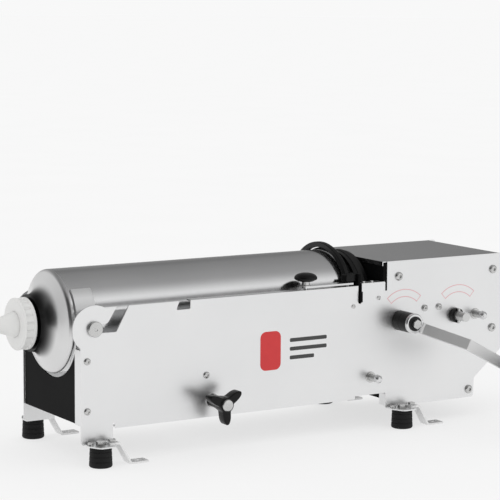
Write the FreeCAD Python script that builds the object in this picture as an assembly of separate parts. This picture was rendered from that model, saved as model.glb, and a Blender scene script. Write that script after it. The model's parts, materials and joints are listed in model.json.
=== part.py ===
import FreeCAD, Part
import math
import os
from FreeCAD import Vector

# Horizontal hand-cranked sausage filler with two speeds.
# X runs along the barrel, from the nozzle to the gearbox; -Y is the side with the crank; +Z is up.
# The shapes are drawn from the front edge of the side plates, on the bench plane.
# They are written with their origin moved to the middle of the four bench holes.

# driving dimensions, mm
sheet = 2.0
plate_face = 100.5
plate_inner = plate_face - sheet
bed_top = 237.5
shelf_top = 241.0
gearbox_top = 273.4
bed_end = 556.6
plate_end = 801.0
bed_bottom = 52.0

axis_z = 206.0
barrel_r = 80.0
barrel_wall = 1.5
barrel_end = 500.0
rim_r = 8.0
face_low = 60.0
face_lean = math.radians(68)
flare_r = 26.0
neck_r = 35.0
neck_end = -51.0

trunnion_x = 23.2
trunnion_r = 7.0
trunnion_head_r = 12.0

rear_slot = (500.0, 507.0)
yoke_x = (502.0, 506.2)
hoop_x = (489.0, 498.0)
pad_low = 243.0
arm_screw = (486.5, -86.5)

piston_face = 517.0
piston_r = 77.5
seal_r = 78.2

gear_module = 2.0
rack_module = 3.0
large_teeth = 86
small_teeth = 27
pinion_teeth = 17
pressure = math.radians(20)
slow_x = 583.0
shaft_z = 175.0
fast_x = slow_x + gear_module * (large_teeth + small_teeth) / 2
shaft_r = 8.0
crank_seat_r = 7.5
running = 0.04
rack_pitch_z = shaft_z + rack_module * pinion_teeth / 2
rack_half = 9.0
rack_top = 216.0
rack_end = 1225.0

wall_x = 550.6
cover_x = (548.4, 787.3)

foot_x = (24.5, 578.7)
foot_y = 116.7
foot_height = 31.0
strap_hole = 62.0

clamp_x = 227.0
clamp_z = 78.0
rest_x = 216.8
rest_z = 118.4
hold_x = 404.0
hold_y = 92.0
stud_places = ((526.0, 86.0), (738.0, 174.0))
front_bolts = ((10.8, 158.0), (10.8, 82.0))
gearbox_bolts = ((579.8, 247.8), (774.0, 246.8), (774.0, 147.7), (727.0, 46.5))
guide_bolts = ((633.0, 191.5), (662.0, 191.5))
rivets = ((490.8, 204.6), (540.4, 215.1))
shelf_screws = ((515.0, 92.0), (531.0, 92.0))

crank_drop = math.radians(28)
crank_lean = 77.0
crank_run = 37.0
crank_half = 9.0
crank_length = 152.0
crank_y = -140.0

origin_x = (foot_x[0] + foot_x[1]) / 2 + strap_hole
sides = (-1, 1)


os.makedirs("parts", exist_ok=True)


# shapes

def box(x, y, z):
    x, y, z = sorted(x), sorted(y), sorted(z)
    return Part.makeBox(x[1] - x[0], y[1] - y[0], z[1] - z[0], Vector(x[0], y[0], z[0]))


directions = {"x": Vector(1, 0, 0), "y": Vector(0, 1, 0), "z": Vector(0, 0, 1)}


def rod(axis, across, along, radius):
    """A cylinder along x, y or z; across is its place in the other two, along its ends."""
    low, high = sorted(along)
    places = {
        "x": lambda: Vector(low, across[0], across[1]),
        "y": lambda: Vector(across[0], low, across[1]),
        "z": lambda: Vector(across[0], across[1], low),
    }
    return Part.makeCylinder(radius, high - low, places[axis](), directions[axis])


def tube(axis, across, along, outer, inner):
    return rod(axis, across, along, outer).cut(rod(axis, across, along, inner))


def cone(axis, across, along, first, last):
    start = {
        "x": Vector(along[0], across[0], across[1]),
        "y": Vector(across[0], along[0], across[1]),
        "z": Vector(across[0], across[1], along[0]),
    }[axis]
    direction = directions[axis] * (1 if along[1] > along[0] else -1)
    return Part.makeCone(first, last, abs(along[1] - along[0]), start, direction)


def outline(points):
    """A closed flat wire in x and y; a point with a third value is rounded to that radius."""
    corners = []
    for i, point in enumerate(points):
        here = Vector(point[0], point[1], 0)
        if len(point) == 2:
            corners.append((here, None, here))
            continue
        before = Vector(*points[i - 1][:2], 0) - here
        after = Vector(*points[(i + 1) % len(points)][:2], 0) - here
        before.normalize()
        after.normalize()
        half = before.getAngle(after) / 2
        reach = point[2] / math.tan(half)
        middle = before + after
        middle.normalize()
        top = here + middle * (point[2] / math.sin(half) - point[2])
        corners.append((here + before * reach, top, here + after * reach))
    edges = []
    for i, (start, top, end) in enumerate(corners):
        if top:
            edges.append(Part.Arc(start, top, end).toShape())
        following = corners[(i + 1) % len(corners)][0]
        if end.distanceToPoint(following) > 1e-6:
            edges.append(Part.LineSegment(end, following).toShape())
    return Part.Wire(edges)


def slab(plane, points, along):
    """An outline in the xy, xz or yz plane, thickened between two places along the third axis."""
    low, high = sorted(along)
    face = Part.Face(outline(points))
    solid = face.extrude(Vector(0, 0, high - low))
    if plane == "xz":
        solid.rotate(Vector(0, 0, 0), Vector(1, 0, 0), 90)
        solid.translate(Vector(0, high, 0))
    elif plane == "yz":
        solid.rotate(Vector(0, 0, 0), Vector(1, 1, 1), 120)
        solid.translate(Vector(low, 0, 0))
    else:
        solid.translate(Vector(0, 0, low))
    return solid


def turned(edges, centre, direction):
    """A solid turned about an axis from a closed list of edges."""
    return Part.Face(Part.Wire(edges)).revolve(centre, direction, 360)


def hexagon(axis, across, along, flats):
    low, high = sorted(along)
    corner = flats / math.sqrt(3)
    points = []
    for i in range(6):
        turn = math.radians(60 * i + 30)
        points.append((across[0] + corner * math.cos(turn), across[1] + corner * math.sin(turn)))
    plane = {"x": "yz", "y": "xz", "z": "xy"}[axis]
    return slab(plane, points, (low, high))


def joined(*solids):
    return solids[0].multiFuse(list(solids[1:])).removeSplitter()


def cut_all(solid, tools):
    return solid.cut(Part.makeCompound(list(tools)))


def write(name, *solids):
    group = solids[0] if len(solids) == 1 else Part.makeCompound(list(solids))
    group = group.copy()
    group.translate(Vector(-origin_x, 0, 0))
    group.exportStep("parts/" + name + ".step")
    print(name, len(group.Solids), group.isValid(), round(group.Volume / 1000, 2))


# gears

def involute(angle):
    return math.tan(angle) - angle


def gear(teeth, module, along, centre, first_tooth, slack=0.22):
    """A spur gear along y; first_tooth is the turn of one tooth's middle from +X towards +Z."""
    pitch = module * teeth / 2
    base = pitch * math.cos(pressure)
    tip = pitch + module
    root = pitch - 1.25 * module
    half = math.pi / (2 * teeth) - slack / (2 * pitch)
    flank = []
    steps = 5
    start = max(base, root)
    for i in range(steps + 1):
        radius = start + (tip - start) * i / steps
        flank.append((radius, half + involute(pressure) - involute(math.acos(base / radius))))
    if root < base:
        flank.insert(0, (root, flank[0][1]))
    points = []
    for tooth in range(teeth):
        middle = first_tooth + 2 * math.pi * tooth / teeth
        for side, profile in ((-1, flank), (1, flank[::-1])):
            for radius, turn in profile:
                angle = middle + side * turn
                points.append((centre[0] + radius * math.cos(angle), centre[1] + radius * math.sin(angle)))
    return slab("xz", points, along)


def rack_bar(front, back, along, slack=0.22):
    """The rack's bar with its teeth downwards; one tooth stands straight over the pinion's axis."""
    pitch = math.pi * rack_module
    tip_z = rack_pitch_z - rack_module
    root_z = rack_pitch_z + 1.25 * rack_module
    width = pitch / 4 - slack / 2
    tip_half = width - rack_module * math.tan(pressure)
    root_half = width + 1.25 * rack_module * math.tan(pressure)
    first = -2
    last = int((back - 8 - fast_x) / pitch)
    points = [(back, rack_top), (front, rack_top), (front, tip_z)]
    points.append((fast_x + (first - 1) * pitch + tip_half, tip_z))
    points.append((fast_x + (first - 1) * pitch + root_half, root_z))
    for tooth in range(first, last + 1):
        middle = fast_x + tooth * pitch
        points.append((middle - root_half, root_z))
        points.append((middle - tip_half, tip_z))
        points.append((middle + tip_half, tip_z))
        points.append((middle + root_half, root_z))
    points.append((back, root_z))
    return slab("xz", points, along)


# fasteners

def button_screw(x, z, side, head_r, head_height, shank_r, length):
    """A low round head on the outside of a side plate, with its socket and its shank."""
    face = plate_face * side
    out = side * head_height
    crown = joined(
        rod("y", (x, z), (face, face + out * 0.5), head_r),
        cone("y", (x, z), (face + out * 0.5, face + out), head_r, head_r * 0.62),
        rod("y", (x, z), (face - side * length, face), shank_r),
    )
    return crown.cut(hexagon("y", (x, z), (face + out * 0.45, face + out), head_r * 0.55))


def cap_screw(axis, across, head_at, head_height, head_r, shank_r, length):
    """A round-headed screw whose head stands from head_at; a negative height stands the other way."""
    way = 1 if head_height > 0 else -1
    return joined(
        rod(axis, across, (head_at, head_at + head_height), head_r),
        rod(axis, across, (head_at - way * length, head_at), shank_r),
    )


def hex_bolt(axis, across, head_at, head_height, flats, shank_r, length):
    way = 1 if head_height > 0 else -1
    return joined(
        hexagon(axis, across, (head_at, head_at + head_height), flats),
        rod(axis, across, (head_at - way * length, head_at), shank_r),
    )


def hex_nut(axis, across, along, flats, bore_r):
    return hexagon(axis, across, along, flats).cut(rod(axis, across, along, bore_r))


# frame

def slot_opening(side):
    """The trunnion's seat and the slanted way down to it from the top edge."""
    seat_r = trunnion_r + running
    low = axis_z - seat_r
    high = axis_z + seat_r
    way_in = [
        (trunnion_x, low), (60.0, low, 1.5), (79.4, 233.7), (83.6, 243.0),
        (63.8, 243.0), (56.3, 230.6), (45.0, high, 6.0), (trunnion_x, high),
    ]
    along = (side * (plate_inner - 4), side * (plate_face + 1))
    return joined(rod("y", (trunnion_x, axis_z), along, seat_r), slab("xz", way_in, along))


def rear_slot_opening(side):
    along = (side * (plate_inner - 1), side * (plate_face + 1))
    half = (rear_slot[1] - rear_slot[0]) / 2
    middle = (rear_slot[0] + rear_slot[1]) / 2
    straight = box(rear_slot, along, (axis_z + 2 + half, shelf_top + 5))
    return joined(straight, rod("y", (middle, axis_z + 2 + half), along, half))


def foot_tab(side, centre):
    """The ear bent outwards at the foot of a leg."""
    points = [
        (centre - 19.5, side * plate_inner), (centre - 19.5, side * 118, 11), (centre - 10, side * 137, 9),
        (centre + 15, side * 137, 10), (centre + 25.5, side * 121, 8), (centre + 25.5, side * plate_inner),
    ]
    if side < 0:
        points = points[::-1]
    return slab("xy", points, (foot_height, foot_height + sheet))


def side_plate(side):
    """One sheet: slotted wall, stiffening flanges bent inwards and two foot tabs bent outwards."""
    wall = [
        (0, foot_height, 6), (54, foot_height), (54, 60), (57.5, 60), (57.5, bed_bottom), (496, bed_bottom),
        (496, 57), (bed_end, 57), (bed_end, foot_height, 3), (612, foot_height), (612, 33), (737, 33, 5), (738, 65, 8),
        (plate_end, 117, 12), (plate_end, gearbox_top, 2), (bed_end, gearbox_top), (bed_end, 226),
        (553, 226), (553, shelf_top, 2), (rear_slot[1], shelf_top), (rear_slot[1], bed_top),
        (188, bed_top, 1.5), (188, 224, 2), (163, 224, 2), (168.6, bed_top, 1.5), (0, bed_top),
        (0, axis_z),
    ]
    along = (side * plate_inner, side * plate_face)
    lobe = rod("y", (22.5, axis_z), along, 36)
    sharp = box((-20, 10), (side * 90, side * 110), (axis_z + 8, 260)).cut(
        rod("y", (22.5, axis_z), (side * 80, side * 120), 36))
    body = slab("xz", wall, along).cut(sharp).fuse(lobe)
    rim = side * plate_inner
    flanges = [
        box((190, 498), (rim, side * (plate_inner - 13)), (bed_top - sheet, bed_top)),
        box((509, 549.5), (rim, side * (plate_inner - 13)), (shelf_top - sheet, shelf_top)),
        box((60, 494), (rim, side * (plate_inner - 14)), (bed_bottom, bed_bottom + sheet)),
        box((bed_end, bed_end + sheet), (rim, side * (plate_inner - 16)), (foot_height + 4, 55)),
    ]
    if side < 0:
        flanges.append(box((0, sheet), (rim, side * (plate_inner - 18)), (60, 175)))
    tabs = [foot_tab(side, centre) for centre in foot_x]
    holes = [slot_opening(side), rear_slot_opening(side)]
    reach = (side * (plate_inner - 1), side * (plate_face + 1))
    for x, z in front_bolts:
        holes.append(rod("y", (x, z), reach, 3.1))
    for x, z in gearbox_bolts:
        holes.append(rod("y", (x, z), reach, 4.1))
    for x, z in rivets:
        holes.append(rod("y", (x, z), reach, 2.1))
    for x, y in shelf_screws:
        holes.append(rod("z", (x, side * y), (shelf_top - 4, shelf_top + 1), 2.1))
    for x in (slow_x, fast_x):
        holes.append(rod("y", (x, shaft_z), reach, 11.02))
    holes.append(rod("y", (rest_x, rest_z), reach, 3.1))
    holes.append(rod("y", (clamp_x, clamp_z), reach, 5.3))
    if side < 0:
        for x, z in guide_bolts:
            holes.append(rod("y", (x, z), reach, 3.1))
        for x, z in stud_places:
            holes.append(rod("y", (x, z), reach, 4.1))
        holes.append(rod("z", (hold_x, -hold_y), (bed_top - 5, bed_top + 5), 3.4))
    for centre in foot_x:
        for x, y, r in ((0, foot_y, 4.1), (19, foot_y, 3.1), (-13, 109, 2.6)):
            holes.append(rod("z", (centre + x, side * y), (foot_height - 1, foot_height + 3), r))
    return cut_all(joined(body, *flanges, *tabs), holes)


def slot_doubler(side):
    along = (side * (plate_inner - 1.5), side * plate_inner)
    plate = box((3, 132), along, (68, 233)).fuse(rod("y", (22.5, axis_z), along, 33.5))
    tools = [slot_opening(side)]
    for x, z in front_bolts:
        tools.append(rod("y", (x, z), (side * 90, side * 110), 3.1))
    return cut_all(plate, tools)


def front_panel():
    """The cross panel at the front, cut round to clear the barrel as it tips."""
    wall = box((2.2, 4.2), (-96.8, 96.8), (60.6, 175)).cut(rod("x", (0, axis_z), (0, 10), 86))
    ears = [box((4.2, 22), (side * 94.8, side * 96.8), (66, 172)) for side in sides]
    holes = [rod("y", place, (-110, 110), 3.1) for place in front_bolts]
    return cut_all(joined(wall, *ears), holes)


def rack_window(x, room):
    half = rack_half + room
    return box(x, (-half, half), (rack_pitch_z - rack_module - room, rack_top + room))


def gearbox_wall():
    wall = box((wall_x, wall_x + sheet), (-98.3, 98.3), (58, 271.7))
    ears = []
    for side in sides:
        y = (side * 96.3, side * 98.3)
        ears.append(box((wall_x + sheet, 566), y, (62, 222)))
        ears.append(box((wall_x + sheet, 592), y, (230, 271.7)))
    tools = [rack_window((545, 560), 4.0), rod("y", gearbox_bolts[0], (-110, 110), 4.1)]
    return cut_all(joined(wall, *ears), tools)


def gearbox_cover():
    """Top sheet with a front lip, side flanges and the rear wall, bent from one blank."""
    top = box(cover_x, (-98.3, 98.3), (gearbox_top - 1.5, gearbox_top))
    lip = box((cover_x[0], cover_x[0] + 1.5), (-98.3, 98.3), (266.5, gearbox_top))
    back = box((cover_x[1] - 1.5, cover_x[1]), (-98.3, 98.3), (100, gearbox_top))
    pieces = [top, lip, back]
    for side in sides:
        y = (side * 96.8, side * 98.3)
        pieces.append(box((594, cover_x[1]), y, (234, gearbox_top)))
        pieces.append(box((762, cover_x[1]), y, (130, 166)))
    tools = [rack_window((770, 795), 4.0)]
    for place in gearbox_bolts[1:3]:
        tools.append(rod("y", place, (-110, 110), 4.1))
    return cut_all(joined(*pieces), tools)


def gearbox_floor():
    floor = box((580, 736), (-98.3, 98.3), (37.2, 39.2))
    ears = [box((580, 736), (side * 96.3, side * 98.3), (37.2, 62)) for side in sides]
    return joined(floor, *ears).cut(rod("y", gearbox_bolts[3], (-110, 110), 4.1))


def rack_bush(front, flange, back):
    """A plastic guide with a flange that stops it in its wall."""
    body = rack_window((front, back), 3.9)
    rim = rack_window(flange, 9.0)
    return joined(body, rim).cut(rack_window((front - 20, back + 20), 0.3))


def rack_guide():
    """A block over the rack, held to the side plate by an arm with two screws."""
    arm = box((624, 671), (-98.3, -12), (184, 199.5))
    head = box((624, 671), (-13, 13), (184, 226))
    tools = [rack_window((600, 700), 0.3), rod("y", (fast_x, shaft_z), (-13.1, 13.1), 30.5)]
    tools.append(rod("y", (fast_x, shaft_z), (-100, -11), 26.3))
    for place in guide_bolts:
        tools.append(rod("y", place, (-110, -76), 3.05))
    return cut_all(joined(arm, head), tools)


def shaft_bush(x, side):
    body = rod("y", (x, shaft_z), (side * 88.5, side * plate_face), 11)
    rim = rod("y", (x, shaft_z), (side * 96.5, side * plate_inner), 15)
    return joined(body, rim).cut(rod("y", (x, shaft_z), (side * 80, side * 110), shaft_r + running))


def cross_brace():
    """A removable channel between the plates, under the barrel."""
    web = box((206, 248), (-96.3, 96.3), (66, 68))
    ears = [box((206, 248), (side * 96.3, side * 98.3), (66, 94)) for side in sides]
    return joined(web, *ears).cut(rod("y", (clamp_x, clamp_z), (-110, 110), 5.3))


def hold_down_strap(side, centre):
    """A cranked strap from the foot tab down to the bench."""
    points = [
        (centre + 11, 33), (centre + 26.8, 33, 2), (centre + 45.8, 0, 3), (centre + 77, 0),
        (centre + 77, 3), (centre + 47.6, 3, 3), (centre + 28.6, 36, 3), (centre + 11, 36),
    ]
    strap = slab("xz", points, (side * (foot_y - 10), side * (foot_y + 10)))
    tools = [
        rod("z", (centre + 19, side * foot_y), (30, 40), 3.1),
        rod("z", (centre + strap_hole, side * foot_y), (-1, 5), 3.5),
    ]
    return cut_all(strap, tools)


def rubber_foot(side, centre):
    place = (centre, side * foot_y)
    body = joined(
        cone("z", place, (0, 2.5), 15.6, 17.75),
        cone("z", place, (2.5, foot_height), 17.75, 16.5),
    )
    return body.cut(rod("z", place, (14, foot_height + 1), 4.05))


write("side_plate_near", side_plate(-1))
write("side_plate_far", side_plate(1))
write("slot_doublers", *[slot_doubler(side) for side in sides])
write("front_panel", front_panel())
write("gearbox_front_wall", gearbox_wall())
write("gearbox_cover", gearbox_cover())
write("gearbox_floor", gearbox_floor())
write("frame_screws", *[
    button_screw(x, z, side, 5.4, 3.2, 3.0, 9)
    for side in sides for x, z in (*front_bolts, (rest_x, rest_z))])
write("gearbox_screws", *[
    button_screw(x, z, side, 7.2, 4.4, 4.0, 10) for side in sides for x, z in gearbox_bolts])
side_screws = [button_screw(x, z, -1, 5.6, 3.4, 3.0, 22) for x, z in guide_bolts]
for side in sides:
    side_screws += [button_screw(x, z, side, 3.6, 1.6, 2.0, 3) for x, z in rivets]
    side_screws += [cap_screw("z", (x, side * y), shelf_top, 2.4, 3.8, 2.0, 5) for x, y in shelf_screws]
write("side_screws", *side_screws)
write("rack_guide", rack_guide())
front_bush = rack_bush(wall_x - 2.6, (wall_x - 2.6, wall_x), 576.0)
rear_bush = rack_bush(762.0, (cover_x[1], cover_x[1] + 3.2), cover_x[1] + 3.2)
write("rack_bushes", front_bush, rear_bush)
write("shaft_bushes", *[shaft_bush(x, side) for side in sides for x in (slow_x, fast_x)])
write("rest_rod", rod("y", (rest_x, rest_z), (-98.3, 98.3), 6.0).cut(
    rod("y", (rest_x, rest_z), (-110, -91), 3.0)).cut(rod("y", (rest_x, rest_z), (91, 110), 3.0)))
write("rest_sleeve", tube("y", (rest_x, rest_z), (-62, 62), 7.2, 6.0))
write("cross_brace", cross_brace())
brace_bolt = joined(
    hexagon("y", (clamp_x, clamp_z), (plate_face, plate_face + 6), 17),
    rod("y", (clamp_x, clamp_z), (80, plate_face), 5.0))
write("brace_bolt", brace_bolt, hex_nut("y", (clamp_x, clamp_z), (88.3, 96.3), 17, 5.0))
side_studs = []
for place in stud_places:
    side_studs.append(joined(
        rod("y", place, (-102.2, -plate_face), 9.0),
        rod("y", place, (-119, -102.2), 6.0),
        rod("y", place, (-plate_face, -90), 4.0)))
    side_studs.append(hex_nut("y", place, (-plate_inner, -92.5), 13, 4.0))
write("side_studs", *side_studs)
write("stud_cap_nuts", *[joined(
    hexagon("y", place, (-124.5, -119), 13),
    cone("y", place, (-124.5, -128.5), 6.2, 3.6)) for place in stud_places])
brace_nut = hex_nut("y", (clamp_x, clamp_z), (-96.3, -88.3), 17, 5.0 + running)
hold_down_nut = hex_nut("z", (hold_x, -hold_y), (229.4, 235.5), 10, 3.0 + running)
write("weld_nuts", brace_nut, hold_down_nut)
write("rubber_feet", *[rubber_foot(side, centre) for side in sides for centre in foot_x])
write("hold_down_straps", *[hold_down_strap(side, centre) for side in sides for centre in foot_x])
foot_fasteners = []
tab_top = foot_height + sheet
for side in sides:
    for centre in foot_x:
        foot_fasteners.append(hex_bolt("z", (centre, side * foot_y), tab_top, 5.5, 13, 4.0, 18))
        foot_fasteners.append(hex_bolt("z", (centre + 19, side * foot_y), tab_top + 3, 4, 10, 3.0, 5))
        foot_fasteners.append(cap_screw("z", (centre - 13, side * 109), tab_top, 3, 4.5, 2.5, 2))
write("foot_fasteners", *foot_fasteners)


# barrel

def dome():
    """Spun end: a tight rim, a nearly flat face, then a flare down to the threaded neck."""
    wall = barrel_wall
    bore = 27.0
    rim = (0.0, barrel_r - rim_r)
    rim_foot = (-rim_r * math.sin(face_lean), rim[1] + rim_r * math.cos(face_lean))
    face_x = rim_foot[0] - (rim_foot[1] - face_low) / math.tan(face_lean)
    flare = (face_x - flare_r * math.sin(face_lean), face_low + flare_r * math.cos(face_lean))

    def at(x, radius):
        return Vector(x, 0, axis_z + radius)

    def arc(centre, radius, last):
        turns = (face_lean, (face_lean + last) / 2, last)
        return [at(centre[0] - radius * math.sin(t), centre[1] + radius * math.cos(t)) for t in turns]

    rim_out = arc(rim, rim_r, 0)
    rim_in = arc(rim, rim_r - wall, 0)
    flare_out = arc(flare, -flare_r, 0)
    flare_in = arc(flare, -flare_r - wall, math.asin(wall / (flare_r + wall)))
    corners = [flare_out[2], at(flare[0], neck_r), at(neck_end, neck_r), at(neck_end, bore), at(flare[0] + wall, bore)]
    corners.append(flare_in[2])
    edges = [Part.Arc(*rim_out[::-1]).toShape(), Part.LineSegment(rim_out[0], flare_out[0]).toShape()]
    edges.append(Part.Arc(*flare_out).toShape())
    edges += [Part.LineSegment(a, b).toShape() for a, b in zip(corners, corners[1:])]
    edges += [Part.Arc(*flare_in[::-1]).toShape(), Part.LineSegment(flare_in[0], rim_in[0]).toShape()]
    edges += [Part.Arc(*rim_in).toShape(), Part.LineSegment(rim_in[2], rim_out[2]).toShape()]
    return turned(edges, Vector(0, 0, axis_z), Vector(1, 0, 0))


def trunnion_pad(side):
    """A saddle plate on the tube's side, which carries the trunnion."""
    ring = tube("x", (0, axis_z), (3, 37), barrel_r + 3, barrel_r + 0.01)
    return ring.common(box((3, 37), (side * 40, side * 90), (axis_z - 57, axis_z + 57)))


def trunnion(side):
    place = (trunnion_x, axis_z)
    stem = joined(
        rod("y", place, (side * 76, side * 89), 13),
        rod("y", place, (side * 89, side * 101.2), trunnion_r),
        rod("y", place, (side * 101.2, side * 105.4), trunnion_head_r),
        cone("y", place, (side * 105.4, side * 106.2), trunnion_head_r, trunnion_head_r - 1),
    )
    return stem.cut(rod("x", (0, axis_z), (-20, 60), barrel_r + 3.02))


def rear_yoke():
    """A ring round the barrel's mouth; its lugs drop into the plates' rear slots and take the thrust."""
    low = axis_z + 5
    plate = joined(
        rod("x", (0, axis_z), yoke_x, 84.3),
        box(yoke_x, (-97.5, 97.5), (low, 256)),
        box(yoke_x, (-104.5, 104.5), (low, 228)),
    )
    tools = [rod("x", (0, axis_z), (490, 520), barrel_r + 0.05)]
    tools.append(box((490, 520), (-60, 60), (axis_z + 60, 300)))
    for side in sides:
        tools.append(rod("x", (side * 86, 248), (490, 520), 3.05))
    mouth = tube("x", (0, axis_z), (hoop_x[1] + 0.5, yoke_x[1]), barrel_r + 3, barrel_r + 0.05)
    return joined(cut_all(plate, tools), mouth)


def hoop_handle():
    arch = tube("x", (0, axis_z + 3), hoop_x, 90, 80.8)
    arch = arch.cut(box((470, 510), (-120, 120), (90, pad_low)))
    pads = [box((482, 502), (side * 76, side * 92), (pad_low, 256)) for side in sides]
    whole = joined(arch, *pads)
    holes = [rod("x", (side * 86, 248), (490, 510), 3.0) for side in sides]
    holes.append(rod("z", arm_screw, (pad_low - 1, pad_low + 8), 2.5))
    return cut_all(whole, holes)


def hold_down_arm():
    bar = slab("xy", [(398, -98, 5.9), (492, -98), (492, -81), (398, -86, 5.9)], (pad_low - 3, pad_low))
    return cut_all(bar, [rod("z", (hold_x, -hold_y), (230, 250), 3.3), rod("z", arm_screw, (230, 250), 2.5)])


write("barrel_tube", tube("x", (0, axis_z), (0, barrel_end), barrel_r, barrel_r - barrel_wall))
write("barrel_dome", dome())
write("trunnion_pads", *[trunnion_pad(side) for side in sides])
write("trunnions", *[trunnion(side) for side in sides])
write("rear_yoke", rear_yoke())
write("hoop_handle", hoop_handle())
write("handle_screws", *[
    cap_screw("x", (side * 86, 248), yoke_x[1], 3.2, 4.8, 3.0, 14) for side in sides],
    cap_screw("z", arm_screw, pad_low - 3, -2, 4.2, 2.5, 10))
write("hold_down_arm", hold_down_arm())
write("hold_down_washer", tube("z", (hold_x, -hold_y), (243.2, 244.6), 8.5, 3.0 + running))
write("hold_down_screw", joined(
    rod("z", (hold_x, -hold_y), (228.4, 244.8), 3.0),
    rod("z", (hold_x, -hold_y), (244.8, 251), 6.3),
    rod("z", (hold_x, -hold_y), (251, 258), 4.0)))
write("hold_down_knob", joined(
    cone("z", (hold_x, -hold_y), (251, 254.5), 13, 18.4),
    rod("z", (hold_x, -hold_y), (254.5, 258), 18.4),
    cone("z", (hold_x, -hold_y), (258, 264.5), 18.4, 9)).cut(
        rod("z", (hold_x, -hold_y), (250, 258), 4.0)))


# nozzle

def ring_nut():
    """A plastic nut over the neck's thread, its rim notched for the hand."""
    body = joined(
        rod("x", (0, axis_z), (-59, -41), 39.0),
        rod("x", (0, axis_z), (-46, -41), 40.0),
        rod("x", (0, axis_z), (-61, -57.5), 40.0),
    )
    tools = [
        rod("x", (0, axis_z), (-57.2, -40), neck_r + 0.35),
        rod("x", (0, axis_z), (-65, -55), 20.0),
        tube("x", (0, axis_z), (-62, -60), 36.5, 20.0),
    ]
    notches = 20
    for i in range(notches):
        turn = 2 * math.pi * i / notches
        place = (41.0 * math.cos(turn), axis_z + 41.0 * math.sin(turn))
        tools.append(rod("x", place, (-57.5, -46), 3.2))
    return cut_all(body, tools)


def nozzle():
    """A flanged tapering tube that the casings are drawn over."""
    outer = joined(
        rod("x", (0, axis_z), (-56.8, -52.4), 34.0),
        rod("x", (0, axis_z), (-62, -56.8), 19.6),
        cone("x", (0, axis_z), (-62, -86), 19.6, 12.0),
        rod("x", (0, axis_z), (-208, -86), 12.0),
    )
    inner = joined(
        cone("x", (0, axis_z), (-52, -84), 17.0, 10.0),
        rod("x", (0, axis_z), (-210, -84), 10.0),
    )
    return outer.cut(inner)


write("ring_nut", ring_nut())
write("nozzle", nozzle())
write("nozzle_seal", tube("x", (0, axis_z), (-52.4, -51.3), 33.5, 27.5))


# piston and rack

front = piston_face
write("piston_plate", rod("x", (0, axis_z), (front, front + 8), piston_r).cut(
    rod("x", (0, axis_z), (front - 1, front + 9), 12.0)))
write("piston_seal", tube("x", (0, axis_z), (front + 8, front + 16), seal_r, 60.0))
write("piston_back", joined(
    rod("x", (0, axis_z), (front + 16, front + 24), piston_r - 1.5),
    rod("x", (0, axis_z), (front + 8, front + 16), 60.0)).cut(
        rod("x", (0, axis_z), (front, front + 30), 6.0)))
write("piston_bolt", joined(
    rod("x", (0, axis_z), (front + 0.5, front + 8), 11.5),
    rod("x", (0, axis_z), (front + 8, front + 50), 6.0)).cut(
        hexagon("x", (0, axis_z), (front, front + 6), 10)))
write("rack", rack_bar(front + 24, rack_end, (-rack_half, rack_half)).cut(
    rod("x", (0, axis_z), (front, front + 50), 6.0)))


# shafts, gears and crank

def shaft(x, end, key_spans):
    bar = rod("y", (x, shaft_z), (end, 106), shaft_r)
    tools = [key(x, span) for span in key_spans]
    tools.append(tube("y", (x, shaft_z), (101.0, 102.3), 9.0, 7.0))
    return cut_all(bar, tools)


def key(x, span):
    return box((x - 2.5, x + 2.5), span, (shaft_z + 5, shaft_z + 10.3))


def wheel(teeth, module, along, x, first_tooth, hub, hub_r, key_span):
    """A spur wheel with a hub, bored and keyed for its shaft."""
    rim = gear(teeth, module, along, (x, shaft_z), first_tooth)
    whole = rim.fuse(rod("y", (x, shaft_z), hub, hub_r))
    return cut_all(whole, [rod("y", (x, shaft_z), (-110, 110), shaft_r), key(x, key_span)])


def spacer(x, along):
    return tube("y", (x, shaft_z), along, 11.5, shaft_r)


def shaft_clip(x):
    return tube("y", (x, shaft_z), (101.0, 102.3), 11.0, 7.0)


def crank_turn(shape):
    shape.rotate(Vector(slow_x, 0, shaft_z), Vector(0, 1, 0), math.degrees(crank_drop))
    return shape


def crank_arm():
    """A flat bar, bent outwards from its hub and then back parallel with the side plate."""
    half = 3.0
    mitre = half * math.tan(math.atan2(crank_lean, crank_run) / 2)
    out = crank_y - crank_lean
    start = slow_x + 15
    bend = slow_x + 22
    end = slow_x + crank_run + 22
    grip = slow_x + crank_length
    points = [
        (start, crank_y + half), (bend + mitre, crank_y + half, 5), (end + mitre, out + half, 5),
        (grip, out + half), (grip, out - half), (end - mitre, out - half, 5),
        (bend - mitre, crank_y - half, 5), (start, crank_y - half),
    ]
    bar = slab("xy", points, (shaft_z - crank_half, shaft_z + crank_half))
    tip = rod("y", (grip, shaft_z), (out - half, out + half), 12)
    whole = joined(bar, tip).cut(rod("y", (grip, shaft_z), (out - 10, out + 10), 5.0))
    return crank_turn(whole.cut(rod("y", (slow_x, shaft_z), (-150, -100), 16.4)))


cross_pin_y = -111.0
gear_y = (55.0, 67.0)
gear_span = (43.0, 73.0)
pinion_y = (-11.0, 11.0)
small_y = (54.0, 68.0)
small_span = (50.0, 72.0)

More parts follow.
